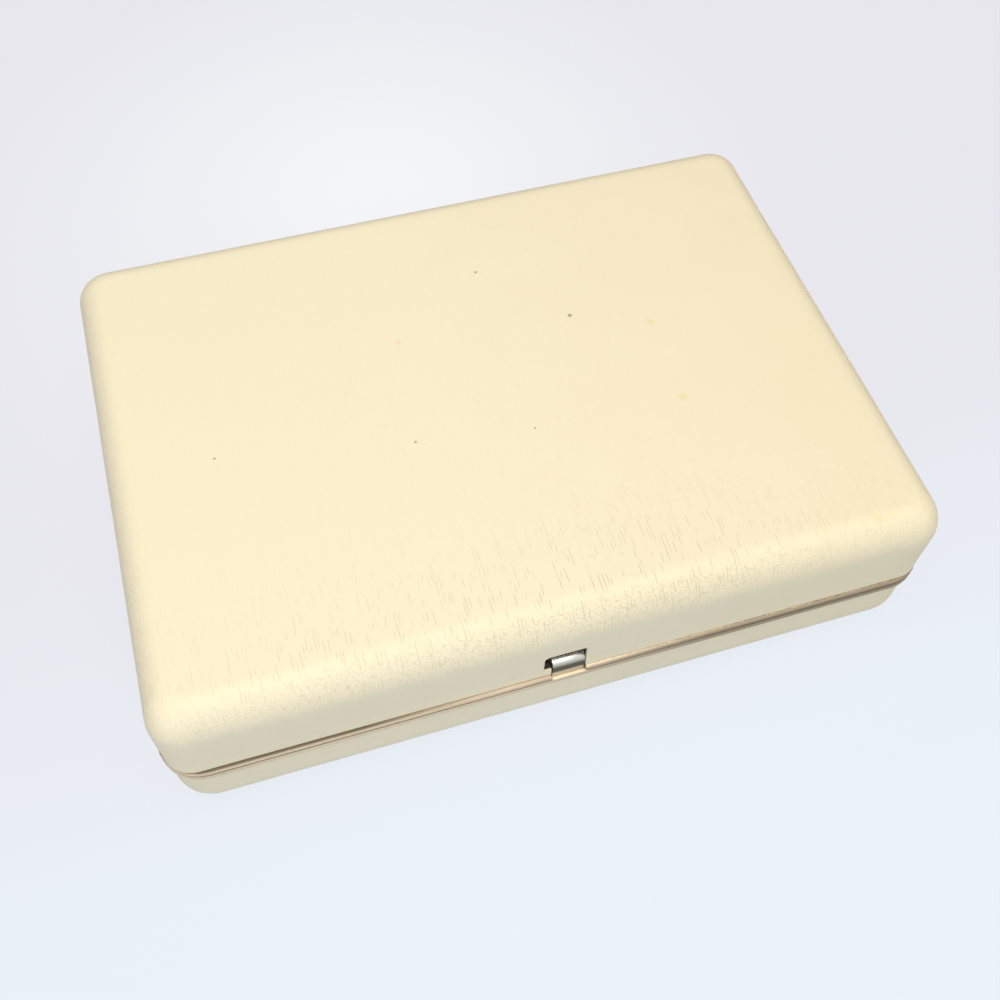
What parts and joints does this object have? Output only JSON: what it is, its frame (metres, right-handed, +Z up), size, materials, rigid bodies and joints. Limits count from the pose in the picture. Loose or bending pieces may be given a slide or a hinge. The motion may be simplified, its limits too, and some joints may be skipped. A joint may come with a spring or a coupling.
{
  "type": "jewelry case",
  "caption": "Low rounded jewelry case in cream leatherette with gilt rim rails, a push catch in a front notch, rear butt hinges, a divided lined base and a padded lid",
  "frame": {"origin": "bottom centre of the whole case's bounding box, on the surface it stands on, hinges included", "axes": "+X along the front to the right as seen from the front, +Y to the hinges at the back, +Z up"},
  "size_m": [0.2694, 0.1982, 0.0667],
  "materials": {
    "leatherette": "cream grained leatherette, semi-gloss",
    "steel_shell": "pressed sheet steel, dark",
    "gilt": "gilt brass, worn satin",
    "bright_steel": "bright plated steel",
    "velvet": "dusty rose velvet over board",
    "satin": "rose satin over wadding",
    "greyboard": "grey stiffening board, matt"
  },
  "bodies": {
    "base": {"base_covering": "leatherette", "base_lining_floor": "velvet", "base_lining_surround": "velvet", "base_rim_rail": "gilt", "base_shell": "steel_shell", "catch_bracket": "bright_steel", "catch_bracket_rivet_left": "bright_steel", "catch_bracket_rivet_right": "bright_steel", "catch_pin": "bright_steel", "catch_spring": "bright_steel", "divider_back": "velvet", "divider_front": "velvet", "divider_long": "velvet", "floor_board": "greyboard", "hinge_base_leaf_left": "bright_steel", "hinge_base_leaf_right": "bright_steel", "hinge_base_rivet_left_a": "bright_steel", "hinge_base_rivet_left_b": "bright_steel", "hinge_base_rivet_right_a": "bright_steel", "hinge_base_rivet_right_b": "bright_steel", "hinge_pin_left": "bright_steel", "hinge_pin_right": "bright_steel", "ring_roll_1": "velvet", "ring_roll_2": "velvet", "ring_roll_3": "velvet", "ring_roll_4": "velvet", "ring_roll_5": "velvet", "ring_roll_6": "velvet", "ring_roll_7": "velvet"},
    "lid": {"hinge_lid_leaf_left": "bright_steel", "hinge_lid_leaf_right": "bright_steel", "hinge_lid_rivet_left_a": "bright_steel", "hinge_lid_rivet_left_b": "bright_steel", "hinge_lid_rivet_right_a": "bright_steel", "hinge_lid_rivet_right_b": "bright_steel", "lid_covering": "leatherette", "lid_lining_surround": "velvet", "lid_pad": "satin", "lid_pad_board": "greyboard", "lid_rim_rail": "gilt", "lid_shell": "steel_shell", "strike_plate": "bright_steel", "strike_rivet_left": "bright_steel", "strike_rivet_right": "bright_steel"},
    "catch": {"catch_lever": "gilt"}
  },
  "joints": [
    {"name": "lid_hinge", "type": "hinge", "parent": "base", "child": "lid", "pos_m": [0, 0.09663, 0.029], "axis": [-1, 0, 0], "range_deg": [0, 100]},
    {"name": "catch_pivot", "type": "hinge", "parent": "base", "child": "catch", "pos_m": [0, -0.09127, 0.0195], "axis": [-1, 0, 0], "range_deg": [0, 5], "stiffness_Nm_per_rad": 0.25, "springref_deg": -5.73, "deforming": ["catch_spring"]}
  ]
}
